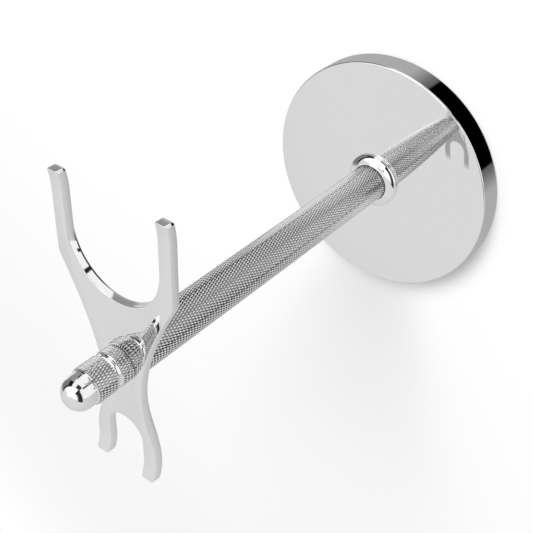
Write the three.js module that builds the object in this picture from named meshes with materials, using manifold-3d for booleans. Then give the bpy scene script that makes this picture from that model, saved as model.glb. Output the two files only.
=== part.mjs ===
// A shaving stand for one brush and one razor. It stands on a heavy round base. A knurled post
// rises from the middle of the base, and a flat plate with a wide fork and a narrow fork lies
// across the top of the post, clamped by a knurled finial that screws down through the plate.
//
// Frame: millimetres, +Z up along the post. The origin is the centre of the pad's underside, on
// the surface that the stand rests on. The wide fork for the brush points towards -Y, the narrow
// fork for the razor points towards +Y.

import * as THREE from 'three';
import { mergeVertices } from 'three/addons/utils/BufferGeometryUtils.js';
import Module from 'manifold-3d';

const wasm = await Module();
wasm.setup();

// ---------------------------------------------------------------- driving dimensions

const BASE_SEGMENTS = 80;
const ROUND_SEGMENTS = 48;
const SMALL_SEGMENTS = 24;

// base
const BASE_RADIUS = 36;
const BASE_RIM_TOP = 7.8;
const BASE_CROWN = 1.9;
const BASE_SEAT_RADIUS = 9;
const BASE_EDGE = 0.5;
const PAD_PROUD = 0.3;
const PAD_RADIUS = 33;
const PAD_THICKNESS = 1.3;
const PAD_SIDE_GAP = 0.2;
const BASE_COUNTERBORE_RADIUS = 6;
const BASE_COUNTERBORE_TOP = 5.5;
const BASE_TOP = crownHeight(BASE_SEAT_RADIUS);

// M5 button-head screw and its spring washer, under the base
const BASE_SCREW_RADIUS = 2.42;
const BASE_SCREW_HOLE_RADIUS = 2.75;
const BASE_SCREW_HEAD_RADIUS = 4.75;
const BASE_SCREW_HEAD_HEIGHT = 2.75;
const BASE_SCREW_LENGTH = 14;
const BASE_SCREW_KEY = 3;
const BASE_SCREW_SOCKET_DEPTH = 1.6;
const SPRING_WASHER_INNER = 2.6;
const SPRING_WASHER_OUTER = 4.6;
const SPRING_WASHER_THICKNESS = 1.2;
const SPRING_WASHER_SPLIT = 0.09 * Math.PI;

// post and the ring around its foot
const POST_RADIUS = 5.5;
const POST_TOP = 113.4;
const POST_EDGE = 0.3;
const POST_FOOT_HOLE_RADIUS = 2.5;
const POST_FOOT_HOLE_DEPTH = 12;
const POST_TOP_HOLE_RADIUS = 3;
const POST_TOP_HOLE_DEPTH = 14;
const FERRULE_INNER = 5.6;
const FERRULE_SHOULDER = 5.75;
const FERRULE_WAIST = 8;
const FERRULE_BELLY = 8.35;
const FERRULE_HEIGHT = 2.35;

// fork plate, measured from the post's axis along the plate and across it
const PLATE_THICKNESS = 2.4;
const PLATE_BEVEL = 0.25;
const PLATE_HOLE_RADIUS = 3.2;
const BRUSH_GAP_HALF = 14.15;
const BRUSH_GAP_CENTRE = 32.6;
const BRUSH_PRONG_HALF = 17.6;
const BRUSH_PRONG_END = 46.5;
const BRUSH_CURL_START = 41;
const BRUSH_CURL_RISE = 0.7;
const BRUSH_SHOULDER = 24.2;
const WAIST_HALF = 6.2;
const WAIST_PLACE = -8.5;
const RAZOR_GAP_HALF = 5.75;
const RAZOR_GAP_CENTRE = -23.2;
const RAZOR_PRONG_HALF = 9.9;
const RAZOR_SHOULDER = -25.5;
const RAZOR_PRONG_END = -33.9;
const RAZOR_CURL_START = -28.4;
const RAZOR_CURL_RISE = 1.3;
const PRONG_CORNER = 0.7;
const CURL_STEP = 1.2;

// finial knob that clamps the plate
const PLATE_TOP = POST_TOP + PLATE_THICKNESS;
const KNOB_RADIUS = 4.9;
const KNOB_GAP = 0.05;
const LOWER_BAND_TOP = 3.3;
const GROOVE_RADIUS = 4.25;
const UPPER_BAND_FOOT = 5;
const UPPER_BAND_TOP = 10.7;
const KNOB_SHOULDER_TOP = 11.3;
const KNOB_EDGE = 0.15;
const KNOB_RECESS_RADIUS = 4.3;
const KNOB_WASHER_INNER = 3.15;
const KNOB_WASHER_OUTER = 4.15;
const KNOB_WASHER_THICKNESS = 0.8;
const STUD_RADIUS = 2.92;
const STUD_BELOW_PLATE_TOP = 12.4;
const STUD_IN_KNOB = 6;
const STUD_KEY = 3;
const STUD_SOCKET_DEPTH = 3;
const STUD_CHAMFER = 0.6;
const STUD_CLEARANCE = 0.06;
const CAP_CLEARANCE = 0.1;
const CAP_RADIUS = 4.5;
const CAP_SPIGOT_RADIUS = 2.9;
const CAP_SPIGOT_LENGTH = 3.6;
const CAP_STRAIGHT = 1.2;
const CAP_HEIGHT = 5.75;
const CAP_SHOULDER_GAP = 0.02;

// ---------------------------------------------------------------- materials

function polishedChrome() {
  return new THREE.MeshStandardMaterial({ color: 0xd8dadc, roughness: 0.06, metalness: 1 });
}

function knurledChrome() {
  return new THREE.MeshStandardMaterial({ color: 0xc8cacc, roughness: 0.2, metalness: 1 });
}

function platedSteel() {
  return new THREE.MeshStandardMaterial({ color: 0xb4b7ba, roughness: 0.35, metalness: 1 });
}

function blackFoam() {
  return new THREE.MeshStandardMaterial({ color: 0x1b1b1c, roughness: 0.95, metalness: 0 });
}

function whiteNylon() {
  return new THREE.MeshStandardMaterial({ color: 0xe9e7df, roughness: 0.5, metalness: 0 });
}

// ---------------------------------------------------------------- helpers

const object = new THREE.Group();

function add(name, geometry, material) {
  const mesh = new THREE.Mesh(geometry, material);
  mesh.name = name;
  object.add(mesh);
  return mesh;
}

// A round solid from a half profile of [radius, height] points, listed from the foot upwards
// along the outside. A profile that starts and ends on the axis is solid, any other closes on
// itself as a ring.
function turned(profile, segments = ROUND_SEGMENTS) {
  const points = profile.map(([radius, height]) => new THREE.Vector2(radius, height));
  const first = points[0];
  const last = points[points.length - 1];
  const closesOnAxis = first.x === 0 && last.x === 0;
  if (!closesOnAxis) {
    points.push(first.clone());
  }
  return new THREE.LatheGeometry(points, segments);
}

// Profile points on a quarter or any other arc, from one angle to another.
function arc(centreRadius, centreHeight, radius, fromDegrees, toDegrees, steps = 2) {
  const points = [];
  for (let step = 0; step <= steps; step += 1) {
    const turn = THREE.MathUtils.degToRad(fromDegrees + ((toDegrees - fromDegrees) * step) / steps);
    points.push([centreRadius + radius * Math.cos(turn), centreHeight + radius * Math.sin(turn)]);
  }
  return points;
}

function solidFrom(geometry) {
  const bare = geometry.clone();
  bare.deleteAttribute('normal');
  bare.deleteAttribute('uv');
  const merged = mergeVertices(bare, 1e-4);
  const vertProperties = new Float32Array(merged.attributes.position.array);
  const triVerts = new Uint32Array(merged.index.array);
  return new wasm.Manifold(new wasm.Mesh({ numProp: 3, vertProperties, triVerts }));
}

function geometryFrom(solid) {
  const mesh = solid.getMesh();
  const geometry = new THREE.BufferGeometry();
  geometry.setAttribute('position', new THREE.BufferAttribute(mesh.vertProperties, 3));
  geometry.setIndex(new THREE.BufferAttribute(mesh.triVerts, 1));
  geometry.computeVertexNormals();
  return geometry;
}

function standing(geometry, foot) {
  geometry.rotateX(Math.PI / 2);
  geometry.translate(0, 0, foot);
  return geometry;
}

// Lathe geometry turns about Y, so each turned piece is stood up on Z.
function turnedUpright(profile, segments) {
  return standing(turned(profile, segments), 0);
}

// A hexagonal key socket, cut upwards from its mouth. A little of the cutter stays below it.
function withKeySocket(body, acrossFlats, depth, mouth) {
  const below = 0.5;
  const cornerRadius = acrossFlats / Math.sqrt(3);
  const cutter = new THREE.CylinderGeometry(cornerRadius, cornerRadius, depth + below, 6);
  standing(cutter, mouth + (depth - below) / 2);
  return geometryFrom(solidFrom(body).subtract(solidFrom(cutter)));
}

// ---------------------------------------------------------------- base

// Height of the gently crowned top at a radius. The crown is flatter in the middle.
function crownHeight(radius) {
  return BASE_RIM_TOP + BASE_CROWN * (1 - (radius / BASE_RADIUS) ** 3);
}

function baseDisc() {
  const recessRadius = PAD_RADIUS + PAD_SIDE_GAP;
  const edge = BASE_EDGE;
  const crown = [];
  const rings = 9;
  for (let ring = 0; ring <= rings; ring += 1) {
    const reach = BASE_RADIUS - 2 * edge - BASE_SEAT_RADIUS;
    const radius = BASE_SEAT_RADIUS + reach * (1 - ring / rings);
    crown.push([radius, crownHeight(radius)]);
  }
  return turnedUpright([
    [recessRadius, PAD_PROUD],
    ...arc(BASE_RADIUS - edge, PAD_PROUD + edge, edge, -90, 0),
    ...arc(BASE_RADIUS - edge, BASE_RIM_TOP - edge, edge, 0, 90),
    ...crown,
    [BASE_SCREW_HOLE_RADIUS, BASE_TOP],
    [BASE_SCREW_HOLE_RADIUS, BASE_COUNTERBORE_TOP],
    [BASE_COUNTERBORE_RADIUS, BASE_COUNTERBORE_TOP],
    [BASE_COUNTERBORE_RADIUS, PAD_THICKNESS],
    [recessRadius, PAD_THICKNESS],
  ], BASE_SEGMENTS);
}

function basePad() {
  return turnedUpright([
    [0, 0],
    [PAD_RADIUS, 0],
    [PAD_RADIUS, PAD_THICKNESS],
    [0, PAD_THICKNESS],
  ], BASE_SEGMENTS);
}

function baseScrew() {
  const headTop = BASE_COUNTERBORE_TOP - SPRING_WASHER_THICKNESS;
  const headFoot = headTop - BASE_SCREW_HEAD_HEIGHT;
  const tip = headTop + BASE_SCREW_LENGTH;
  const chamfer = 0.5;
  const body = turnedUpright([
    [0, headFoot],
    [BASE_SCREW_HEAD_RADIUS * 0.62, headFoot],
    [BASE_SCREW_HEAD_RADIUS * 0.86, headFoot + 0.6],
    [BASE_SCREW_HEAD_RADIUS, headFoot + 1.7],
    [BASE_SCREW_HEAD_RADIUS, headTop],
    [BASE_SCREW_RADIUS, headTop],
    [BASE_SCREW_RADIUS, tip - chamfer],
    [BASE_SCREW_RADIUS - chamfer, tip],
    [0, tip],
  ], SMALL_SEGMENTS);
  return withKeySocket(body, BASE_SCREW_KEY, BASE_SCREW_SOCKET_DEPTH, headFoot);
}

// A split spring washer: a flat ring with a narrow gap.
function springWasher() {
  const half = SPRING_WASHER_SPLIT / 2;
  const ring = new THREE.Shape();
  ring.absarc(0, 0, SPRING_WASHER_OUTER, half, 2 * Math.PI - half, false);
  ring.absarc(0, 0, SPRING_WASHER_INNER, 2 * Math.PI - half, half, true);
  ring.closePath();
  const geometry = new THREE.ExtrudeGeometry(ring, {
    depth: SPRING_WASHER_THICKNESS,
    bevelEnabled: false,
    curveSegments: 16,
  });
  geometry.translate(0, 0, BASE_COUNTERBORE_TOP - SPRING_WASHER_THICKNESS);
  return geometry;
}

// ---------------------------------------------------------------- post

function post() {
  const foot = BASE_TOP;
  const edge = POST_EDGE;
  const drillPoint = 1.2;
  return turnedUpright([
    [0, foot + POST_FOOT_HOLE_DEPTH + drillPoint],
    [POST_FOOT_HOLE_RADIUS, foot + POST_FOOT_HOLE_DEPTH],
    [POST_FOOT_HOLE_RADIUS, foot],
    [POST_RADIUS, foot],
    [POST_RADIUS, POST_TOP - edge],
    [POST_RADIUS - edge, POST_TOP],
    [POST_TOP_HOLE_RADIUS, POST_TOP],
    [POST_TOP_HOLE_RADIUS, POST_TOP - POST_TOP_HOLE_DEPTH],
    [0, POST_TOP - POST_TOP_HOLE_DEPTH - drillPoint],
  ]);
}

function ferrule() {
  const foot = BASE_TOP;
  const top = foot + FERRULE_HEIGHT;
  const side = foot + 0.75;
  const over = [];
  const steps = 7;
  for (let step = 0; step < steps; step += 1) {
    const turn = (Math.PI / 2) * (step / steps);
    const radius = FERRULE_SHOULDER + (FERRULE_BELLY - FERRULE_SHOULDER) * Math.cos(turn);
    over.push([radius, side + (top - side) * Math.sin(turn)]);
  }
  return turnedUpright([
    [FERRULE_INNER, foot],
    [FERRULE_WAIST, foot],
    [FERRULE_BELLY - 0.1, foot + 0.3],
    ...over,
    [FERRULE_SHOULDER, top],
    [FERRULE_INNER, top],
  ]);
}

// ---------------------------------------------------------------- fork plate

// Half of the outline, on the +X side, from the bottom of the brush gap round the outside to the
// bottom of the razor gap. Places are given along the plate, towards the brush, and across it.
function halfOutline() {
  const path = new THREE.Path();
  const lineTo = (along, across) => path.lineTo(across, -along);
  const curveTo = (pullAlong, pullAcross, along, across) => {
    path.quadraticCurveTo(pullAcross, -pullAlong, across, -along);
  };
  const bendTo = (firstAlong, firstAcross, nextAlong, nextAcross, along, across) => {
    path.bezierCurveTo(firstAcross, -firstAlong, nextAcross, -nextAlong, across, -along);
  };

  path.absarc(0, -BRUSH_GAP_CENTRE, BRUSH_GAP_HALF, Math.PI / 2, 0, true);

  // brush prong: inner edge, square end with small corners, outer edge, soft shoulder
  const corner = PRONG_CORNER;
  lineTo(BRUSH_PRONG_END - corner, BRUSH_GAP_HALF);
  curveTo(BRUSH_PRONG_END, BRUSH_GAP_HALF, BRUSH_PRONG_END, BRUSH_GAP_HALF + corner);
  lineTo(BRUSH_PRONG_END, BRUSH_PRONG_HALF - corner);
  curveTo(BRUSH_PRONG_END, BRUSH_PRONG_HALF, BRUSH_PRONG_END - corner, BRUSH_PRONG_HALF);
  lineTo(BRUSH_SHOULDER + 1.2, BRUSH_PRONG_HALF);
  curveTo(BRUSH_SHOULDER, BRUSH_PRONG_HALF, BRUSH_SHOULDER - 1.1, BRUSH_PRONG_HALF - 0.65);

  // waist on both sides of the post
  bendTo(13.6, 11.7, 1.4, WAIST_HALF, WAIST_PLACE, WAIST_HALF);
  bendTo(-15, WAIST_HALF, -18.5, RAZOR_PRONG_HALF - 0.8, RAZOR_SHOULDER, RAZOR_PRONG_HALF);

  // razor prong: outer edge, square end with rounder corners, inner edge
  const razorEnd = RAZOR_PRONG_END;
  const round = 1.4 * corner;
  lineTo(razorEnd + round, RAZOR_PRONG_HALF);
  curveTo(razorEnd, RAZOR_PRONG_HALF, razorEnd, RAZOR_PRONG_HALF - round);
  lineTo(razorEnd, RAZOR_GAP_HALF + round);
  curveTo(razorEnd, RAZOR_GAP_HALF, razorEnd + round, RAZOR_GAP_HALF);
  lineTo(RAZOR_GAP_CENTRE, RAZOR_GAP_HALF);
  path.absarc(0, -RAZOR_GAP_CENTRE, RAZOR_GAP_HALF, 0, -Math.PI / 2, true);
  return path.getPoints(6);
}

function forkPlate() {
  const half = halfOutline();
  const otherHalf = half.slice(1, -1).map((point) => new THREE.Vector2(-point.x, point.y)).reverse();
  const outline = new THREE.Shape([...half, ...otherHalf]);
  const hole = new THREE.Path();
  hole.absarc(0, 0, PLATE_HOLE_RADIUS, 0, 2 * Math.PI, false);
  outline.holes.push(hole);
  const geometry = new THREE.ExtrudeGeometry(outline, {
    depth: PLATE_THICKNESS - 2 * PLATE_BEVEL,
    bevelThickness: PLATE_BEVEL,
    bevelSize: PLATE_BEVEL,
    bevelOffset: -PLATE_BEVEL,
    bevelSegments: 1,
    curveSegments: 16,
  });
  geometry.translate(0, 0, POST_TOP + PLATE_BEVEL);
  return geometryFrom(withCurledTips(solidFrom(geometry)));
}

// The last few millimetres of each prong are curled up, so that nothing slides off the end.
function withCurledTips(plate) {
  const [brushTips, restOfPlate] = plate.splitByPlane([0, -1, 0], BRUSH_CURL_START);
  const [razorTips, middle] = restOfPlate.splitByPlane([0, 1, 0], -RAZOR_CURL_START);
  const curled = (tips, start, length, rise) => tips.refineToLength(CURL_STEP).warp((point) => {
    point[2] += rise * ((Math.abs(point[1]) - start) / length) ** 2;
  });
  const brushLength = BRUSH_PRONG_END - BRUSH_CURL_START;
  const razorStart = -RAZOR_CURL_START;
  const razorLength = -RAZOR_PRONG_END - razorStart;
  return wasm.Manifold.union([
    middle,
    curled(brushTips, BRUSH_CURL_START, brushLength, BRUSH_CURL_RISE),
    curled(razorTips, razorStart, razorLength, RAZOR_CURL_RISE),
  ]);
}

// ---------------------------------------------------------------- finial knob

function knobGrip() {
  const foot = PLATE_TOP;
  const edge = KNOB_EDGE;
  const grooveHeight = UPPER_BAND_FOOT - LOWER_BAND_TOP;
  const grooveDepth = KNOB_RADIUS - GROOVE_RADIUS;
  const groove = [];
  const steps = 6;
  for (let step = 0; step <= steps; step += 1) {
    const turn = (Math.PI * step) / steps;
    const height = LOWER_BAND_TOP + (grooveHeight * (1 - Math.cos(turn))) / 2;
    groove.push([KNOB_RADIUS - grooveDepth * Math.sin(turn), foot + height]);
  }
  const spigotFoot = foot + KNOB_SHOULDER_TOP - CAP_SPIGOT_LENGTH - 0.3;
  return turnedUpright([
    [KNOB_RECESS_RADIUS, foot + KNOB_GAP],
    [KNOB_RADIUS - edge, foot + KNOB_GAP],
    [KNOB_RADIUS, foot + KNOB_GAP + edge],
    ...groove,
    [KNOB_RADIUS, foot + UPPER_BAND_TOP],
    [CAP_RADIUS, foot + KNOB_SHOULDER_TOP],
    [CAP_SPIGOT_RADIUS + CAP_CLEARANCE, foot + KNOB_SHOULDER_TOP],
    [CAP_SPIGOT_RADIUS + CAP_CLEARANCE, spigotFoot],
    [STUD_RADIUS + STUD_CLEARANCE, spigotFoot],
    [STUD_RADIUS + STUD_CLEARANCE, foot + KNOB_WASHER_THICKNESS],
    [KNOB_RECESS_RADIUS, foot + KNOB_WASHER_THICKNESS],
  ]);
}

function knobWasher() {
  const foot = PLATE_TOP;
  return turnedUpright([
    [KNOB_WASHER_INNER, foot],
    [KNOB_WASHER_OUTER, foot],
    [KNOB_WASHER_OUTER, foot + KNOB_WASHER_THICKNESS],
    [KNOB_WASHER_INNER, foot + KNOB_WASHER_THICKNESS],
  ], SMALL_SEGMENTS);
}

function knobStud() {
  const foot = PLATE_TOP - STUD_BELOW_PLATE_TOP;
  const top = PLATE_TOP + KNOB_WASHER_THICKNESS + STUD_IN_KNOB;
  const body = turnedUpright([
    [0, foot],
    [STUD_RADIUS - STUD_CHAMFER, foot],
    [STUD_RADIUS, foot + STUD_CHAMFER],
    [STUD_RADIUS, top - STUD_CHAMFER],
    [STUD_RADIUS - STUD_CHAMFER, top],
    [0, top],
  ], SMALL_SEGMENTS);
  return withKeySocket(body, STUD_KEY, STUD_SOCKET_DEPTH, foot);
}

function finialCap() {
  const foot = PLATE_TOP + KNOB_SHOULDER_TOP + CAP_SHOULDER_GAP;
  const domeCentre = foot + CAP_STRAIGHT;
  return turnedUpright([
    [0, foot - CAP_SPIGOT_LENGTH],
    [CAP_SPIGOT_RADIUS, foot - CAP_SPIGOT_LENGTH],
    [CAP_SPIGOT_RADIUS, foot],
    [CAP_RADIUS - 0.1, foot],
    [CAP_RADIUS, foot + 0.1],
    ...dome(domeCentre, CAP_RADIUS, CAP_HEIGHT - CAP_STRAIGHT),
  ]);
}

// The top of a dome: from its full radius up to the axis.
function dome(centre, radius, height, steps = 8) {
  const points = [];
  for (let step = 0; step < steps; step += 1) {
    const turn = (Math.PI / 2) * (step / steps);
    points.push([radius * Math.cos(turn), centre + height * Math.sin(turn)]);
  }
  points.push([0, centre + height]);
  return points;
}

// ---------------------------------------------------------------- the object

add('base_disc', baseDisc(), polishedChrome());
add('base_pad', basePad(), blackFoam());
add('base_screw', baseScrew(), platedSteel());
add('base_spring_washer', springWasher(), platedSteel());
add('ferrule', ferrule(), polishedChrome());
add('post', post(), knurledChrome());
add('fork_plate', forkPlate(), polishedChrome());
add('knob_washer', knobWasher(), whiteNylon());
add('knob_stud', knobStud(), platedSteel());
add('knob_grip', knobGrip(), knurledChrome());
add('finial_cap', finialCap(), polishedChrome());

export default object;
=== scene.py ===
# %% [markdown]
# # A shaving stand in chrome
# The stand has a heavy round base, a knurled post with a polished ring at its foot, and a flat
# plate with a wide fork for the brush and a narrow fork for the razor. A knurled finial screws
# down through the plate and clamps it. This lesson makes each piece in the shared frame: metres,
# +Z up the post, the brush fork towards -Y.

# %% Load the fixed frame
import math
import bpy
import bmesh
from mathutils import Matrix, Vector
from mathutils.geometry import interpolate_bezier


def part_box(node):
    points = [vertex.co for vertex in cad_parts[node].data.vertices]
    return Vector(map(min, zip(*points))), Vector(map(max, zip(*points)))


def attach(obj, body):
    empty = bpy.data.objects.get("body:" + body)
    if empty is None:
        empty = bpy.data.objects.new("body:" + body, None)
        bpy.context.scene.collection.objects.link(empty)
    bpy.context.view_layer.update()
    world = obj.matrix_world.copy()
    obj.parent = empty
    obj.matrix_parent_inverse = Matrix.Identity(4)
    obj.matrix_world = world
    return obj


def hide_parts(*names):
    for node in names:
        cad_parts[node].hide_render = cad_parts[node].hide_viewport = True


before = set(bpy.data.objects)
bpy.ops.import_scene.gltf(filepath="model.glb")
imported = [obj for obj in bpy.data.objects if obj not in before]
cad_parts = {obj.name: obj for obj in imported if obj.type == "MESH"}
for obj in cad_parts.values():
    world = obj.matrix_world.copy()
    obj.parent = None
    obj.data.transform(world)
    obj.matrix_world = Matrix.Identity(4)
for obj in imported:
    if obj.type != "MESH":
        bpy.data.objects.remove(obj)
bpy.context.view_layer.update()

scene = bpy.context.scene

# %% [markdown]
# ## Working in millimetres
# A maker thinks of this object in millimetres, and the frame is in metres. One factor turns one
# into the other, and every length below is written in millimetres times that factor. The plate's
# top is where the knob's washer starts, because the curled prong ends stand higher.

# %% Millimetres
MM = 0.001


def place(node):
    """Lowest and highest corner of a piece of the frame."""
    low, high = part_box(node)
    return Vector(low), Vector(high)


post_low, post_high = place("post")
PLATE_FOOT = place("fork_plate")[0].z
PLATE_TOP = place("knob_washer")[0].z
print("plate from %.1f to %.1f mm" % (PLATE_FOOT / MM, PLATE_TOP / MM))

# %% [markdown]
# ## The camera
# The camera looks down on the stand from the side of the brush fork, and it is rolled far over,
# so the post runs across the view from lower left to upper right. It could be turned with
# three Euler angles, but a look-at with a roll is easier to read: first aim it level, then roll.

# %% Camera
LENS = 69.41
SENSOR = 36
CAMERA_PLACE = Vector((-135.36, -162.52, 236.62)) * MM
CAMERA_TARGET = Vector((-1.61, 1.31, 62.90)) * MM
CAMERA_ROLL = math.radians(126.167)

camera_data = bpy.data.cameras.new("camera")
camera_data.sensor_width = SENSOR
camera_data.lens = LENS
camera_data.clip_start = 10 * MM
camera_data.clip_end = 20
camera = bpy.data.objects.new("camera", camera_data)
scene.collection.objects.link(camera)
look = CAMERA_TARGET - CAMERA_PLACE
aim = look.to_track_quat("-Z", "Y").to_matrix().to_4x4()
camera.matrix_world = (Matrix.Translation(CAMERA_PLACE) @ aim
                       @ Matrix.Rotation(-CAMERA_ROLL, 4, "Z"))
scene.camera = camera
scene.view_settings.view_transform = "Standard"
print("camera to target %.1f mm" % (look.length / MM))

# %% [markdown]
# ## Building node materials
# Every finish here is a short chain of nodes. A small helper adds a node, sets its inputs and
# links, so that each material reads as a recipe.

# %% Node helper
def node(tree, kind, inputs=None, **settings):
    """Add one node. An input value is a number, a colour or another node's output."""
    made = tree.nodes.new(kind)
    for key, value in settings.items():
        setattr(made, key, value)
    for key, value in (inputs or {}).items():
        socket = made.inputs[key]
        if isinstance(value, bpy.types.NodeSocket):
            tree.links.new(value, socket)
        else:
            socket.default_value = value
    return made


def maths(tree, operation, first, second=0.0):
    return node(tree, "ShaderNodeMath", {0: first, 1: second}, operation=operation).outputs[0]


def ramp(tree, value, low, high, to_low=0.0, to_high=1.0):
    """A smooth change from one number to another as the value goes from low to high."""
    made = node(tree, "ShaderNodeMapRange", {"Value": value, "From Min": low, "From Max": high,
                "To Min": to_low, "To Max": to_high}, interpolation_type="SMOOTHSTEP")
    return made.outputs["Result"]


def mix(tree, factor, first, second):
    made = node(tree, "ShaderNodeMix", data_type="RGBA")
    for socket, value in ((made.inputs[0], factor), (made.inputs[6], first),
                          (made.inputs[7], second)):
        if isinstance(value, bpy.types.NodeSocket):
            tree.links.new(value, socket)
        else:
            socket.default_value = value
    return made.outputs[2]


def grey(tone):
    return (tone, tone, tone, 1.0)


# %% [markdown]
# ## The studio around the stand
# Polished chrome has no colour of its own: what is seen is the room. The room is a world shader.
# Its walls are pale grey, darker towards the floor. Panels hang in front of them, each given by
# its tone, its middle azimuth and half width, and its lowest and highest elevation, in degrees.
# The camera itself sees plain white behind the stand. Real cards and lamps could do the same, but
# a world shader can't get in the way of any view.

# %% Studio: direction
world = bpy.data.worlds.new("studio")
world.use_nodes = True
scene.world = world
tree = world.node_tree
tree.nodes.clear()
direction = node(tree, "ShaderNodeSeparateXYZ",
                 {0: node(tree, "ShaderNodeTexCoord").outputs["Generated"]})
along_x, along_y, along_z = direction.outputs
level = maths(tree, "SQRT", maths(tree, "SUBTRACT", 1.0001,
                                  maths(tree, "MULTIPLY", along_z, along_z)))
elevation = maths(tree, "ARCSINE", along_z)


def facing(azimuth, half_width, softness):
    """1 inside a fan of azimuths, 0 outside it."""
    turn = math.radians(azimuth)
    across = maths(tree, "ADD", maths(tree, "MULTIPLY", along_x, math.cos(turn)),
                   maths(tree, "MULTIPLY", along_y, math.sin(turn)))
    cosine = maths(tree, "DIVIDE", across, level)
    outer = math.cos(math.radians(min(half_width + softness, 180)))
    inner = math.cos(math.radians(max(half_width - softness, 0)))
    return ramp(tree, cosine, outer, inner)


def between(low, high, softness):
    """1 between two elevations, 0 above and below."""
    low, high, softness = (math.radians(value) for value in (low, high, softness))
    rising = ramp(tree, elevation, low - softness, low + softness)
    falling = ramp(tree, elevation, high - softness, high + softness, 1.0, 0.0)
    return maths(tree, "MULTIPLY", rising, falling)


def panel(room, tone, azimuth, half_width, low, high, softness=4, soft_ends=4):
    """Hang one light or dark panel in front of the room made so far."""
    where = maths(tree, "MULTIPLY", facing(azimuth, half_width, softness),
                  between(low, high, soft_ends))
    return mix(tree, where, room, grey(tone))


# %% Studio: the room
upper_walls = ramp(tree, elevation, math.radians(-20), math.radians(50))
lower_walls = ramp(tree, elevation, math.radians(-60), math.radians(-18))
room = mix(tree, lower_walls, grey(0.40), mix(tree, upper_walls, grey(0.63), grey(0.74)))
# Low down: a grey card, the dark card that blackens the base's edge, and its soft border.
room = panel(room, 0.30, -35, 34, -40, 0, softness=14, soft_ends=6)
room = panel(room, 0.12, -137, 62, -90, -38, softness=15, soft_ends=3)
room = panel(room, 0.0, -137.5, 48.5, -90, -42, softness=2, soft_ends=2)
# At eye level: the large soft box with two thin stands in front of it, and a small one.
room = panel(room, 0.97, -123, 62, -41, 36, softness=3, soft_ends=2)
room = panel(room, 0.02, -127, 4, -43, 4, softness=2, soft_ends=2)
room = panel(room, 0.02, -166, 3, -43, -31, softness=2, soft_ends=2)
room = panel(room, 0.92, 22, 26, -28, -7, softness=8)
# Dark cards between the soft boxes.
room = panel(room, 0.20, -14, 28, -6, 34, softness=5)
room = panel(room, 0.04, -107, 15, 5, 28, softness=3, soft_ends=3)
room = panel(room, 0.01, -50, 13, 2, 33, softness=3, soft_ends=3)
room = panel(room, 0.01, -18, 22, 25, 33, softness=4, soft_ends=2)
room = panel(room, 0.03, -168, 41, 28, 54, softness=4, soft_ends=4)
# Overhead: two bright boxes and the arm that holds them.
room = panel(room, 1.3, -68, 54, 37, 91, softness=5, soft_ends=3)
room = panel(room, 1.3, -90, 105, 62, 91, softness=6, soft_ends=3)
room = panel(room, 0.02, -124, 7, 24, 58, softness=2, soft_ends=3)
light_path = node(tree, "ShaderNodeLightPath")
seen = mix(tree, light_path.outputs["Is Camera Ray"], room, grey(1.0))
background = node(tree, "ShaderNodeBackground", {"Color": seen, "Strength": 1.0})
node(tree, "ShaderNodeOutputWorld", {"Surface": background.outputs[0]})
print("studio panels hung")

# %% [markdown]
# ## Floor and soft light
# The floor is a plain pale sheet. It glows a little, and more further out, so that it fades to
# white. One wide lamp stands on the brush fork's side, so the base leaves a soft shadow on the far
# side. Neither the floor nor the lamp shows in the chrome.

# %% Floor
FLOOR_HALF = 2.5
FADE_START = 0.25
FADE_END = 0.9
bm = bmesh.new()
bmesh.ops.create_grid(bm, x_segments=1, y_segments=1, size=FLOOR_HALF)
floor_mesh = bpy.data.meshes.new("floor")
bm.to_mesh(floor_mesh)
bm.free()
floor = bpy.data.objects.new("floor", floor_mesh)
scene.collection.objects.link(floor)
floor.visible_glossy = False
pale = bpy.data.materials.new("pale_floor")
pale.use_nodes = True
shader = pale.node_tree.nodes["Principled BSDF"]
shader.inputs["Base Color"].default_value = grey(0.62)
shader.inputs["Roughness"].default_value = 0.9
shader.inputs["Specular IOR Level"].default_value = 0.0
shader.inputs["Emission Color"].default_value = grey(1.0)
tree = pale.node_tree
here = node(tree, "ShaderNodeTexCoord").outputs["Object"]
reach = node(tree, "ShaderNodeVectorMath", {0: here}, operation="LENGTH").outputs["Value"]
tree.links.new(ramp(tree, reach, FADE_START, FADE_END, 0.10, 0.8),
               shader.inputs["Emission Strength"])
floor_mesh.materials.append(pale)

# %% Soft lamp
lamp_data = bpy.data.lights.new("soft_lamp", "AREA")
lamp_data.shape = "DISK"
lamp_data.size = 1.0
lamp_data.energy = 34.0
lamp = bpy.data.objects.new("soft_lamp", lamp_data)
scene.collection.objects.link(lamp)
lamp_place = Vector((-0.08, -1.20, 1.25))
lamp_aim = (-lamp_place).to_track_quat("-Z", "Y").to_matrix().to_4x4()
lamp.matrix_world = Matrix.Translation(lamp_place) @ lamp_aim
lamp.visible_glossy = False
lamp.visible_camera = False

# %% [markdown]
# ## Polished chrome
# Chrome plate is a thin hard mirror over polished brass or steel. Its reflection is faintly cool,
# and it is never quite even: polishing leaves a very slight waviness and some fine haze where it
# is wiped. Waviness goes in the bump, haze in the roughness, and both are kept small.

# %% Chrome recipe
CHROME_TONE = 0.93


def finish(name):
    """A new material with its Principled shader."""
    made = bpy.data.materials.new(name)
    made.use_nodes = True
    shader = made.node_tree.nodes["Principled BSDF"]
    return made, made.node_tree, shader


def noise(tree, coordinates, scale, detail=2.0, roughness=0.5):
    made = node(tree, "ShaderNodeTexNoise", {"Vector": coordinates, "Scale": scale,
                "Detail": detail, "Roughness": roughness})
    return made.outputs["Fac"]


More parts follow.
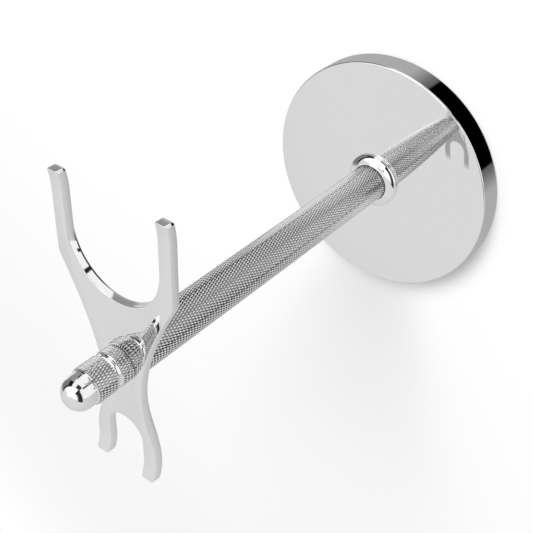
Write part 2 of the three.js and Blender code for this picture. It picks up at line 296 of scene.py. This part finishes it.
def polished_chrome(name, wave):
    """A mirror finish. The wave is how uneven the polish is."""
    made, tree, shader = finish(name)
    here = node(tree, "ShaderNodeTexCoord").outputs["Object"]
    haze = noise(tree, here, 55.0, 3.0, 0.6)
    shader.inputs["Metallic"].default_value = 1.0
    cool = (0.985 * CHROME_TONE, 0.99 * CHROME_TONE, CHROME_TONE, 1.0)
    tree.links.new(mix(tree, haze, cool, grey(CHROME_TONE)), shader.inputs["Base Color"])
    fine = noise(tree, here, 900.0, 2.0, 0.5)
    rough = maths(tree, "ADD", ramp(tree, haze, 0.3, 0.8, 0.015, 0.05),
                  maths(tree, "MULTIPLY", fine, 0.012))
    tree.links.new(rough, shader.inputs["Roughness"])
    waves = noise(tree, here, 38.0, 1.0, 0.4)
    bump = node(tree, "ShaderNodeBump", {"Height": waves, "Strength": wave, "Distance": 2 * MM})
    tree.links.new(bump.outputs["Normal"], shader.inputs["Normal"])
    return made


chrome_base = polished_chrome("chrome_base", 0.004)
chrome_plate = polished_chrome("chrome_plate", 0.008)
chrome_ring = polished_chrome("chrome_ring", 0.01)
chrome_cap = polished_chrome("chrome_cap", 0.01)

# %% [markdown]
# ## Knurled chrome
# The knurl is rolled or cut before plating, so the diamonds are a little blunt and their tops
# catch the light. The diamonds are real geometry; the material paints shade into the valleys,
# darkening their colour by the distance from the axis, and roughens them. What is turned deeper
# than the knurl, such as the knob's groove, is polished again.

# %% Knurl recipe
def knurled_chrome(name, valley, crest):
    """Chrome over a knurl whose valleys and crests lie at these distances from the axis."""
    made, tree, shader = finish(name)
    here = node(tree, "ShaderNodeTexCoord").outputs["Object"]
    parts = node(tree, "ShaderNodeSeparateXYZ", {0: here}).outputs
    radius = maths(tree, "SQRT", maths(tree, "ADD", maths(tree, "MULTIPLY", parts[0], parts[0]),
                                       maths(tree, "MULTIPLY", parts[1], parts[1])))
    turned = ramp(tree, radius, valley - 0.06 * MM, valley - 0.02 * MM, 1.0, 0.0)
    height = maths(tree, "MAXIMUM", ramp(tree, radius, valley, crest), turned)
    shader.inputs["Metallic"].default_value = 1.0
    # Painted shade: the colour darkens from grey 0.95 at the crests to grey 0.40 in the valleys.
    tone = mix(tree, height, grey(0.40), grey(0.95))
    blotch = noise(tree, here, 140.0, 3.0, 0.6)
    tone = mix(tree, ramp(tree, blotch, 0.35, 0.75, 0.0, 0.12), tone, grey(0.70))
    tree.links.new(tone, shader.inputs["Base Color"])
    rough = maths(tree, "ADD", ramp(tree, height, 0.0, 1.0, 0.24, 0.05),
                  maths(tree, "MULTIPLY", noise(tree, here, 2500.0), 0.06))
    tree.links.new(rough, shader.inputs["Roughness"])
    grain = node(tree, "ShaderNodeBump", {"Height": noise(tree, here, 5000.0, 3.0, 0.6),
                 "Strength": 0.12, "Distance": 0.05 * MM})
    tree.links.new(grain.outputs["Normal"], shader.inputs["Normal"])
    return made


# %% [markdown]
# ## Steel, rubber and nylon
# The screw, its washer and the stud are zinc-plated steel: duller than chrome, slightly warm and
# blotchy. The pad is closed-cell foam rubber with fine pores. The washer under the knob is
# natural nylon, creamy white and faintly glossy.

# %% Other recipes
def plated_steel(name):
    made, tree, shader = finish(name)
    here = node(tree, "ShaderNodeTexCoord").outputs["Object"]
    cloud = noise(tree, here, 420.0, 4.0, 0.65)
    shader.inputs["Metallic"].default_value = 1.0
    tree.links.new(mix(tree, cloud, (0.50, 0.52, 0.54, 1), (0.70, 0.69, 0.66, 1)),
                   shader.inputs["Base Color"])
    tree.links.new(ramp(tree, cloud, 0.3, 0.7, 0.22, 0.42), shader.inputs["Roughness"])
    grain = node(tree, "ShaderNodeBump", {"Height": noise(tree, here, 3000.0, 3.0, 0.6),
                 "Strength": 0.2, "Distance": 0.05 * MM})
    tree.links.new(grain.outputs["Normal"], shader.inputs["Normal"])
    return made


def foam_rubber(name):
    made, tree, shader = finish(name)
    here = node(tree, "ShaderNodeTexCoord").outputs["Object"]
    cells = node(tree, "ShaderNodeTexVoronoi", {"Vector": here, "Scale": 2200.0})
    pores = cells.outputs["Distance"]
    patch = noise(tree, here, 90.0, 3.0, 0.6)
    tree.links.new(mix(tree, patch, grey(0.018), grey(0.040)), shader.inputs["Base Color"])
    tree.links.new(ramp(tree, pores, 0.0, 0.7, 0.95, 0.75), shader.inputs["Roughness"])
    bump = node(tree, "ShaderNodeBump", {"Height": pores, "Strength": 0.5, "Distance": 0.1 * MM})
    tree.links.new(bump.outputs["Normal"], shader.inputs["Normal"])
    return made


def natural_nylon(name):
    made, tree, shader = finish(name)
    here = node(tree, "ShaderNodeTexCoord").outputs["Object"]
    cloud = noise(tree, here, 300.0, 3.0, 0.5)
    tree.links.new(mix(tree, cloud, (0.80, 0.78, 0.71, 1), (0.88, 0.87, 0.82, 1)),
                   shader.inputs["Base Color"])
    tree.links.new(ramp(tree, cloud, 0.3, 0.7, 0.38, 0.52), shader.inputs["Roughness"])
    shader.inputs["Subsurface Weight"].default_value = 0.15
    shader.inputs["Subsurface Radius"].default_value = (0.6 * MM, 0.5 * MM, 0.4 * MM)
    return made


steel = plated_steel("zinc_plated_steel")
rubber = foam_rubber("foam_rubber")
nylon = natural_nylon("natural_nylon")
print("finishes:", len(bpy.data.materials))

# %% [markdown]
# ## Turning a piece
# Most pieces here come off a lathe. A half profile of a few corners is drawn in the XZ plane,
# each corner with its own rounding, and it is spun round Z. The last step of a full spin is
# merged with the first. Beside each rounding sits one extra line of vertices, which keeps the
# smooth shading of the rounding off the flat next to it, so a mirror face stays truly flat.

# %% Lathe helpers
HOLD = 0.04 * MM


def rounded(corners, steps=6):
    """Half profile in metres from (radius, height, rounding) corners in millimetres."""
    points = []
    count = len(corners)
    for index, (radius, height, rounding) in enumerate(corners):
        corner = Vector((radius, height)) * MM
        if rounding == 0:
            points.append(corner)
            continue
        before = Vector(corners[index - 1][:2]) * MM - corner
        after = Vector(corners[(index + 1) % count][:2]) * MM - corner
        half = before.angle(after) / 2
        reach = rounding * MM / math.tan(half)
        first = corner + before.normalized() * reach
        last = corner + after.normalized() * reach
        centre = corner + (before.normalized() + after.normalized()).normalized() * (
            rounding * MM / math.sin(half))
        points.append(first + before.normalized() * HOLD)
        for step in range(steps + 1):
            spoke = (first - centre).lerp(last - centre, step / steps).normalized()
            points.append(centre + spoke * rounding * MM)
        points.append(last + after.normalized() * HOLD)
    return points


def tidy_shell(bm, merge=0.002 * MM):
    bmesh.ops.remove_doubles(bm, verts=bm.verts, dist=merge)
    bmesh.ops.dissolve_degenerate(bm, dist=merge / 10, edges=bm.edges)
    bmesh.ops.recalc_face_normals(bm, faces=bm.faces)


def spun(points, steps, closed=True):
    """A bmesh spun from a half profile. A closed profile is a ring, an open one ends on Z."""
    bm = bmesh.new()
    verts = [bm.verts.new((point.x, 0, point.y)) for point in points]
    edges = [bm.edges.new(pair) for pair in zip(verts, verts[1:])]
    if closed:
        edges.append(bm.edges.new((verts[-1], verts[0])))
    bmesh.ops.spin(bm, geom=verts + edges, cent=(0, 0, 0), axis=(0, 0, 1),
                   angle=2 * math.pi, steps=steps, use_merge=True)
    tidy_shell(bm)
    return bm


def piece(name, bm, material, body, cad_node, sharp=32):
    """Turn a bmesh into a finished piece that rides on its body and replaces its node."""
    for face in bm.faces:
        face.smooth = True
    for edge in bm.edges:
        if len(edge.link_faces) == 2 and edge.calc_face_angle(0) > math.radians(sharp):
            edge.smooth = False
    mesh = bpy.data.meshes.new(name)
    bm.to_mesh(mesh)
    bm.free()
    mesh.materials.append(material)
    made = bpy.data.objects.new(name, mesh)
    scene.collection.objects.link(made)
    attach(made, body)
    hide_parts(cad_node)
    print("%s: %d faces" % (name, len(mesh.polygons)))
    return made


# %% [markdown]
# ## The base disc
# A heavy disc, turned and polished. Its top is slightly crowned, flatter in the middle, which is
# why the post's reflection in it grows thinner towards the rim. Both outer edges have a small
# round. Underneath is a shallow recess for the pad, and a counterbore for the post's screw.

# %% Base disc
BASE_RADIUS = 36.0
BASE_FOOT = 0.3
RIM_TOP = 7.8
CROWN = 1.9
CROWN_EDGE = 35.2
CROWN_STEPS = 40
SEAT_RADIUS = 9.0
RECESS_RADIUS = 33.2
RECESS_TOP = 1.3
SCREW_HOLE = 2.75
COUNTERBORE_RADIUS = 6.0
COUNTERBORE_TOP = 5.5


def crown_height(radius):
    return RIM_TOP + CROWN * (1 - (radius / BASE_RADIUS) ** 3)


crown_radii = [CROWN_EDGE - (CROWN_EDGE - SEAT_RADIUS) * ring / CROWN_STEPS
               for ring in range(CROWN_STEPS + 1)]
crown = [(radius, crown_height(radius), 0) for radius in crown_radii]
seat = crown_height(SEAT_RADIUS)
base_profile = rounded([
    (RECESS_RADIUS, BASE_FOOT, 0.12), (BASE_RADIUS, BASE_FOOT, 0.5),
    (BASE_RADIUS, crown_height(BASE_RADIUS), 0.45), *crown,
    (SCREW_HOLE, seat, 0), (SCREW_HOLE, COUNTERBORE_TOP, 0.1),
    (COUNTERBORE_RADIUS, COUNTERBORE_TOP, 0), (COUNTERBORE_RADIUS, RECESS_TOP, 0.2),
    (RECESS_RADIUS, RECESS_TOP, 0)], steps=8)
piece("polished_base", spun(base_profile, 256), chrome_base, "stand", "base_disc")
print("crown %.2f mm above the rim" % (seat - RIM_TOP))

# %% [markdown]
# ## The pad
# A disc of foam rubber stuck in the recess. It stands 0.3 mm proud, so only rubber touches the
# shelf. Its cut edge is slightly soft.

# %% Pad
PAD_RADIUS = 33.0
pad_profile = rounded([(0, 0, 0), (PAD_RADIUS, 0, 0.2), (PAD_RADIUS, RECESS_TOP, 0.1),
                       (0, RECESS_TOP, 0)], steps=4)
piece("foam_pad", spun(pad_profile, 128, closed=False), rubber, "stand", "base_pad")

# %% [markdown]
# ## The ring at the foot of the post
# A small turned ring hides the joint between post and base. A low belly stands on the base, and
# from it the ring slopes up to the post, less and less steeply. The slope is one arc of an
# ellipse, because a mirror shows every corner as a break in the reflection.

# %% Ferrule
def curve(start, pull_start, pull_end, end, steps):
    """Points in metres on one curve through a profile in millimetres."""
    corners = [Vector((radius, height, 0)) * MM
               for radius, height in (start, pull_start, pull_end, end)]
    return [Vector((point.x, point.y)) for point in interpolate_bezier(*corners, steps)]


RING_BORE = 5.6
RING_BELLY = 8.35
RING_TOP = seat + 2.35
SLOPE_FOOT = seat + 0.35
SLOPE_LENGTH = 10.4
SLOPE_HEIGHT = 3.02
SLOPE_ARC = math.radians(41.41)
SLOPE_STEPS = 30
ring_profile = [Vector((RING_BORE, seat)) * MM]
ring_profile += curve((8.05, seat), (8.2, seat), (RING_BELLY, seat + 0.15),
                      (RING_BELLY, SLOPE_FOOT), 12)
for step in range(1, SLOPE_STEPS + 1):
    turn = SLOPE_ARC * step / SLOPE_STEPS
    ring_profile.append(Vector((RING_BELLY - SLOPE_LENGTH * (1 - math.cos(turn)),
                                SLOPE_FOOT + SLOPE_HEIGHT * math.sin(turn))) * MM)
ring_profile.append(Vector((RING_BORE, RING_TOP - 0.15)) * MM)
piece("foot_ring", spun(ring_profile, 128), chrome_ring, "stand", "ferrule", sharp=50)

# %% [markdown]
# ## A diamond knurl
# Two sets of grooves, one left-handed and one right-handed, leave rows of long diamonds. A bump
# texture would look flat at the outline, so the diamonds are cut. One column of cells is poked,
# so each cell gets a cross of diagonals, and is spun round with copies. Dissolving the upright
# and level lines leaves only the diagonals: a lattice of diamonds. Each one is then inset twice
# and raised, which makes it a blunt pyramid.

# %% Knurl helpers
DIAMOND_LENGTH = 2.0 * MM
FLANK_INSET = 0.19 * MM
CROWN_INSET = 0.09 * MM
FLANK_RISE = 0.17 * MM
CROWN_RISE = 0.04 * MM
KNURL_DEPTH = FLANK_RISE + CROWN_RISE
NEAR = 0.002 * MM


def boundary_at(bm, height):
    """The open edges that lie level at a height."""
    return [edge for edge in bm.edges if edge.is_boundary
            and all(abs(vert.co.z - height) < NEAR for vert in edge.verts)]


def everything(bm):
    return bm.verts[:] + bm.edges[:] + bm.faces[:]


def knurled_sleeve(crest, around, foot, top, line):
    """An open knurled tube, cut level at foot and top. One row of the pattern is at line."""
    valley = crest - KNURL_DEPTH
    below = math.ceil((line - foot) / DIAMOND_LENGTH + 0.6)
    above = math.ceil((top - line) / DIAMOND_LENGTH + 0.6)
    wedge = 2 * math.pi / around
    bm = bmesh.new()
    start = [bm.verts.new((valley * math.cos(turn), valley * math.sin(turn),
                           line - below * DIAMOND_LENGTH)) for turn in (0, wedge)]
    rung = [bm.edges.new(start)]
    for step in range(below + above):
        grown = bmesh.ops.extrude_edge_only(bm, edges=rung)["geom"]
        verts = [item for item in grown if isinstance(item, bmesh.types.BMVert)]
        rung = [item for item in grown if isinstance(item, bmesh.types.BMEdge)
                and all(vert in verts for vert in item.verts)]
        bmesh.ops.translate(bm, vec=(0, 0, DIAMOND_LENGTH), verts=verts)
    centres = bmesh.ops.poke(bm, faces=bm.faces)["verts"]
    for vert in centres:
        vert.co.xy = vert.co.xy.normalized() * valley
    bmesh.ops.spin(bm, geom=everything(bm), cent=(0, 0, 0),
                   axis=(0, 0, 1), angle=2 * math.pi, steps=around, use_duplicate=True)
    bmesh.ops.remove_doubles(bm, verts=bm.verts, dist=0.01 * MM)
    lines = []
    for edge in bm.edges:
        run = edge.verts[1].co - edge.verts[0].co
        upright = abs(run.z) > 0.9 * DIAMOND_LENGTH
        level_line = abs(run.z) < 0.1 * DIAMOND_LENGTH
        if (upright or level_line) and len(edge.link_faces) == 2:
            lines.append(edge)
    bmesh.ops.dissolve_edges(bm, edges=lines, use_verts=False)
    bmesh.ops.recalc_face_normals(bm, faces=bm.faces)
    outwards = bm.faces[:][0]
    if outwards.normal.dot(outwards.calc_center_median()) < 0:
        bmesh.ops.reverse_faces(bm, faces=bm.faces)
    tops = [face for face in bm.faces if len(face.verts) == 4]
    for inset, rise in ((FLANK_INSET, FLANK_RISE), (CROWN_INSET, CROWN_RISE)):
        bmesh.ops.inset_individual(bm, faces=tops, thickness=inset, depth=rise,
                                   use_even_offset=True)
    for height, keep in ((foot, 1), (top, -1)):
        bmesh.ops.bisect_plane(bm, geom=everything(bm),
                               dist=0.001 * MM, plane_co=(0, 0, height),
                               plane_no=(0, 0, -keep), clear_outer=True)
    return bm


def grow_rings(bm, edges, rings):
    """Carry an open edge on through rings of (radius, height), given in metres."""
    for radius, height in rings:
        grown = bmesh.ops.extrude_edge_only(bm, edges=edges)["geom"]
        verts = [item for item in grown if isinstance(item, bmesh.types.BMVert)]
        edges = [item for item in grown if isinstance(item, bmesh.types.BMEdge)
                 and all(vert in verts for vert in item.verts)]
        for vert in verts:
            vert.co.xy = vert.co.xy.normalized() * radius
            vert.co.z = height
    return edges


# %% [markdown]
# ## The post
# The post is knurled over its whole length. Its foot sits inside the ring, and the top is
# chamfered and drilled for the stud of the knob.

# %% Post
POST_RADIUS = 5.5 * MM
POST_DIAMONDS = 49
post_foot = post_low.z
post_top = post_high.z
chamfer = 0.3 * MM
knurl_foot = post_foot + 1.0 * MM
knurl_top = post_top - chamfer
PATTERN_LINE = 60 * MM
SCREW_BORE = 2.5 * MM
SCREW_DEPTH = 12 * MM
STUD_BORE = 3.0 * MM
STUD_DEPTH = 14 * MM
bm = knurled_sleeve(POST_RADIUS, POST_DIAMONDS, knurl_foot, knurl_top, PATTERN_LINE)
foot_edge = boundary_at(bm, knurl_foot)
top_edge = boundary_at(bm, knurl_top)
print("post ends:", len(foot_edge), len(top_edge))
screw_hole = grow_rings(bm, foot_edge, [
    (POST_RADIUS - KNURL_DEPTH, knurl_foot), (POST_RADIUS - KNURL_DEPTH, post_foot),
    (SCREW_BORE, post_foot), (SCREW_BORE, post_foot + SCREW_DEPTH)])
stud_hole = grow_rings(bm, top_edge, [
    (POST_RADIUS - chamfer, post_top), (STUD_BORE + chamfer, post_top),
    (STUD_BORE, post_top - chamfer), (STUD_BORE, post_top - STUD_DEPTH)])
for hole in (screw_hole, stud_hole):
    bmesh.ops.edgeloop_fill(bm, edges=hole)
tidy_shell(bm)
post_chrome = knurled_chrome("knurled_post", POST_RADIUS - KNURL_DEPTH, POST_RADIUS)
piece("knurled_post", bm, post_chrome, "stand", "post", sharp=12)

# %% [markdown]
# ## The fork plate
# The plate is stamped from flat stock and polished: a wide fork on one side, a narrow fork on the
# other, with square prong ends curled up a little, so that a handle can't slide off. Half of the
# outline is drawn with a few curves and arcs, mirrored, filled, raised to its thickness, and
# all its edges are softened with a bevel. The tips are sliced across and lifted into their curl.

# %% Fork plate outline
PLATE_BEVEL = 0.22 * MM


def bend(path, *controls, steps=10):
    """Carry a path on by one curve. Places are (along the plate, across it) in millimetres."""
    start = path[-1]
    if len(controls) == 2:
        pull, end = (Vector((*pair, 0)) for pair in controls)
        pulls = [start + (pull - start) * 2 / 3, end + (pull - end) * 2 / 3]
    else:
        *pulls, end = (Vector((*pair, 0)) for pair in controls)
    path += interpolate_bezier(start, *pulls, end, steps + 1)[1:]


def sweep(path, centre, radius, from_degrees, to_degrees, steps):
    """Carry a path on round an arc about a centre on the plate's middle line."""
    for step in range(steps + 1):
        turn = math.radians(from_degrees + (to_degrees - from_degrees) * step / steps)
        path.append(Vector((centre + radius * math.sin(turn), radius * math.cos(turn), 0)))


def prong_end(path, end, near, far, corner):
    """Square off a prong at its end, from one side of it to the other, with small corners."""
    back = math.copysign(corner, end)
    step = math.copysign(corner, far - near)
    path.append(Vector((end - back, near, 0)))
    bend(path, (end, near), (end, near + step), steps=6)
    path.append(Vector((end, far - step, 0)))
    bend(path, (end, far), (end - back, far), steps=6)


BRUSH_CENTRE, BRUSH_GAP, BRUSH_SIDE, BRUSH_END = 32.6, 14.15, 17.6, 46.5
RAZOR_CENTRE, RAZOR_GAP, RAZOR_SIDE, RAZOR_END = -23.2, 5.75, 9.9, -33.9
WAIST = 6.2
STUD_HOLE = 3.2
outline = []
sweep(outline, BRUSH_CENTRE, BRUSH_GAP, -90, 0, 32)
prong_end(outline, BRUSH_END, BRUSH_GAP, BRUSH_SIDE, 0.7)
outline.append(Vector((25.4, BRUSH_SIDE, 0)))
bend(outline, (24.2, BRUSH_SIDE), (23.1, 16.95), steps=6)
bend(outline, (13.6, 11.7), (1.4, WAIST), (-8.5, WAIST), steps=26)
bend(outline, (-15.0, WAIST), (-18.5, 9.1), (-25.5, RAZOR_SIDE), steps=18)
prong_end(outline, RAZOR_END, RAZOR_SIDE, RAZOR_GAP, 1.0)
sweep(outline, RAZOR_CENTRE, RAZOR_GAP, 0, 90, 16)
sweep(outline, 0, STUD_HOLE, -90, 90, 32)
print("half outline: %d points" % len(outline))

# %% Fork plate
bm = bmesh.new()
rim = [bm.verts.new((point.y * MM, -point.x * MM, PLATE_FOOT)) for point in outline]
bm.faces.new(rim)
bmesh.ops.remove_doubles(bm, verts=bm.verts, dist=0.01 * MM)
bmesh.ops.mirror(bm, geom=everything(bm), axis="X",
                 merge_dist=0.01 * MM)
bmesh.ops.recalc_face_normals(bm, faces=bm.faces)
raised = bmesh.ops.extrude_face_region(bm, geom=bm.faces[:])["geom"]
lifted = [item for item in raised if isinstance(item, bmesh.types.BMVert)]
bmesh.ops.translate(bm, vec=(0, 0, PLATE_TOP - PLATE_FOOT), verts=lifted)
tidy_shell(bm)
rims = [edge for edge in bm.edges if edge.calc_face_angle(0) > math.radians(60)
        and abs(edge.verts[0].co.z - edge.verts[1].co.z) < 0.01 * MM]
bmesh.ops.bevel(bm, geom=rims, offset=PLATE_BEVEL, segments=3, profile=0.5, material=-1,
                affect="EDGES")
tidy_shell(bm)
CURLS = ((-1, 41.0, BRUSH_END, 0.7), (1, 28.4, -RAZOR_END, 1.3))
CURL_STEPS = 12
for side, start, end, rise in CURLS:
    for step in range(CURL_STEPS):
        across = (start + (end - start) * step / CURL_STEPS) * side * MM
        bmesh.ops.bisect_plane(bm, geom=everything(bm),
                               dist=0.0005 * MM, plane_co=(0, across, 0), plane_no=(0, 1, 0))
    for vert in bm.verts:
        past = (vert.co.y * side / MM - start) / (end - start)
        vert.co.z += rise * MM * max(past, 0) ** 2
piece("fork_plate_polished", bm, chrome_plate, "fork", "fork_plate", sharp=50)

# %% [markdown]
# ## The knob
# The knob has a short knurled band at its foot, a polished groove, a long knurled band and a
# polished shoulder. The groove lies in the middle between two cuts through the same knurl, so both
# cuts show the same pattern and their open edges can be bridged by rings.

# %% Knob grip
KNOB_RADIUS = 4.9 * MM
KNOB_DIAMONDS = 43
foot = place("knob_grip")[0].z
groove_low = PLATE_TOP + 3.3 * MM
groove_high = PLATE_TOP + 5.0 * MM
groove_middle = (groove_low + groove_high) / 2
band_top = PLATE_TOP + 10.7 * MM
band_foot = foot + 0.15 * MM
shoulder_top = PLATE_TOP + 11.3 * MM
bore_end = PLATE_TOP + 7.4 * MM
recess_end = PLATE_TOP + 0.8 * MM
CAP_BORE = 3.0 * MM
STUD_FIT = 2.98 * MM
RECESS = 4.3 * MM
bm = knurled_sleeve(KNOB_RADIUS, KNOB_DIAMONDS, band_foot, band_top, groove_middle)
for height in (groove_low, groove_high):
    bmesh.ops.bisect_plane(bm, geom=everything(bm),
                           dist=0.001 * MM, plane_co=(0, 0, height), plane_no=(0, 0, 1))
cut_out = [face for face in bm.faces
           if groove_low < face.calc_center_median().z < groove_high]
bmesh.ops.delete(bm, geom=cut_out, context="FACES")
low_edge = boundary_at(bm, groove_low)
high_edge = boundary_at(bm, groove_high)
print("groove edges:", len(low_edge), len(high_edge))
GROOVE_STEPS = 14
GROOVE_EDGE = KNOB_RADIUS - 0.2 * MM
GROOVE_DEPTH = 0.45 * MM
groove = []
for step in range(GROOVE_STEPS + 1):
    turn = math.pi * step / GROOVE_STEPS
    groove.append((GROOVE_EDGE - GROOVE_DEPTH * math.sin(turn),
                   groove_middle - (groove_high - groove_low) / 2 * math.cos(turn)))
last_ring = grow_rings(bm, low_edge, groove)
bmesh.ops.bridge_loops(bm, edges=last_ring + high_edge)
shoulder = [(KNOB_RADIUS - 0.22 * MM, band_top), (4.62 * MM, shoulder_top - 0.32 * MM),
            (4.52 * MM, shoulder_top - 0.16 * MM), (4.46 * MM, shoulder_top - 0.03 * MM),
            (4.40 * MM, shoulder_top), (CAP_BORE, shoulder_top),
            (CAP_BORE, bore_end), (STUD_FIT, bore_end)]
bore_top = grow_rings(bm, boundary_at(bm, band_top), shoulder)
underside = [(KNOB_RADIUS - 0.25 * MM, foot), (RECESS, foot), (RECESS, recess_end),
             (STUD_FIT, recess_end)]
bore_foot = grow_rings(bm, boundary_at(bm, band_foot), underside)
bmesh.ops.bridge_loops(bm, edges=bore_top + bore_foot)
tidy_shell(bm)
knob_chrome = knurled_chrome("knurled_knob", KNOB_RADIUS - KNURL_DEPTH, KNOB_RADIUS)
piece("knurled_grip", bm, knob_chrome, "knob", "knob_grip", sharp=12)

# %% [markdown]
# ## The dome on the knob
# A polished button pressed into the top of the knob. Its side is straight for a millimetre and
# then rounds over to a slightly pointed dome, and a hairline shows where it meets the shoulder.

# %% Dome
DOME_RADIUS = 4.5
DOME_FOOT = 127.12
DOME_TIP = 132.87
SPIGOT_RADIUS = 2.9
SPIGOT_FOOT = DOME_FOOT - 3.6
dome_profile = [Vector((radius, height)) * MM for radius, height in (
    (0, SPIGOT_FOOT), (SPIGOT_RADIUS, SPIGOT_FOOT), (SPIGOT_RADIUS, DOME_FOOT),
    (4.38, DOME_FOOT))]
dome_profile += curve((4.38, DOME_FOOT), (4.46, DOME_FOOT), (DOME_RADIUS, DOME_FOOT + 0.05),
                      (DOME_RADIUS, DOME_FOOT + 0.15), 6)[1:]
dome_profile.append(Vector((DOME_RADIUS, 128.32)) * MM)
dome_profile += curve((DOME_RADIUS, 128.36), (DOME_RADIUS, 131.0), (2.6, DOME_TIP),
                      (0, DOME_TIP), 28)
piece("polished_dome", spun(dome_profile, 128, closed=False), chrome_cap, "knob", "finial_cap",
      sharp=50)

# %% [markdown]
# ## The stud
# The knob turns down on an M6 stud. A thread can be made by spinning a toothed profile while it
# climbs one pitch per turn: the top of each turn meets the foot of the next. Its ends are cut
# level and closed.

# %% Stud
def threaded_rod(crest, root, pitch, foot, top, steps=40):
    """A threaded rod with level ends."""
    turns = math.ceil((top - foot) / pitch) + 2
    start = foot - 1.5 * pitch
    bm = bmesh.new()
    tooth = [(root, 0.0), (root, 0.12), (crest, 0.44), (crest, 0.56), (root, 0.88), (root, 1.0)]
    verts = [bm.verts.new((radius, 0, start + share * pitch)) for radius, share in tooth]
    edges = [bm.edges.new(pair) for pair in zip(verts, verts[1:])]
    bmesh.ops.spin(bm, geom=verts + edges, cent=(0, 0, 0), axis=(0, 0, 1),
                   dvec=(0, 0, pitch / steps), angle=2 * math.pi * turns, steps=steps * turns)
    bmesh.ops.remove_doubles(bm, verts=bm.verts, dist=0.002 * MM)
    for height, keep in ((foot, 1), (top, -1)):
        bmesh.ops.bisect_plane(bm, geom=everything(bm),
                               dist=0.0005 * MM, plane_co=(0, 0, height),
                               plane_no=(0, 0, -keep), clear_outer=True)
        grown = grow_rings(bm, boundary_at(bm, height), [(root * 0.96, height)])
        bmesh.ops.edgeloop_fill(bm, edges=grown)
    tidy_shell(bm)
    return bm


THREAD_CREST = 2.92 * MM
THREAD_ROOT = 2.42 * MM
THREAD_PITCH = 1.0 * MM
stud_low, stud_high = place("knob_stud")
bm = threaded_rod(THREAD_CREST, THREAD_ROOT, THREAD_PITCH, stud_low.z, stud_high.z)
piece("threaded_stud", bm, steel, "knob", "knob_stud", sharp=30)

# %% [markdown]
# ## Washer under the knob
# A nylon washer in the knob's recess keeps the knob from scratching the plate.

# %% Knob washer
WASHER_HOLE = 3.15
WASHER_RADIUS = 4.15
WASHER_ROUND = 0.12
washer_foot, washer_top = (corner.z / MM for corner in place("knob_washer"))
washer_profile = rounded([(radius, height, WASHER_ROUND) for radius, height in (
    (WASHER_HOLE, washer_foot), (WASHER_RADIUS, washer_foot), (WASHER_RADIUS, washer_top),
    (WASHER_HOLE, washer_top))], steps=4)
piece("nylon_washer", spun(washer_profile, 64), nylon, "knob_carrier", "knob_washer")

# %% [markdown]
# ## Screw and spring washer
# They are right as they are in the frame, out of sight behind the pad, so they only get their
# zinc-plated finish.

# %% Screw and spring washer
for name in ("base_screw", "base_spring_washer"):
    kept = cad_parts[name]
    for slot in kept.material_slots:
        slot.material = steel
    print(name, "finished in plated steel")
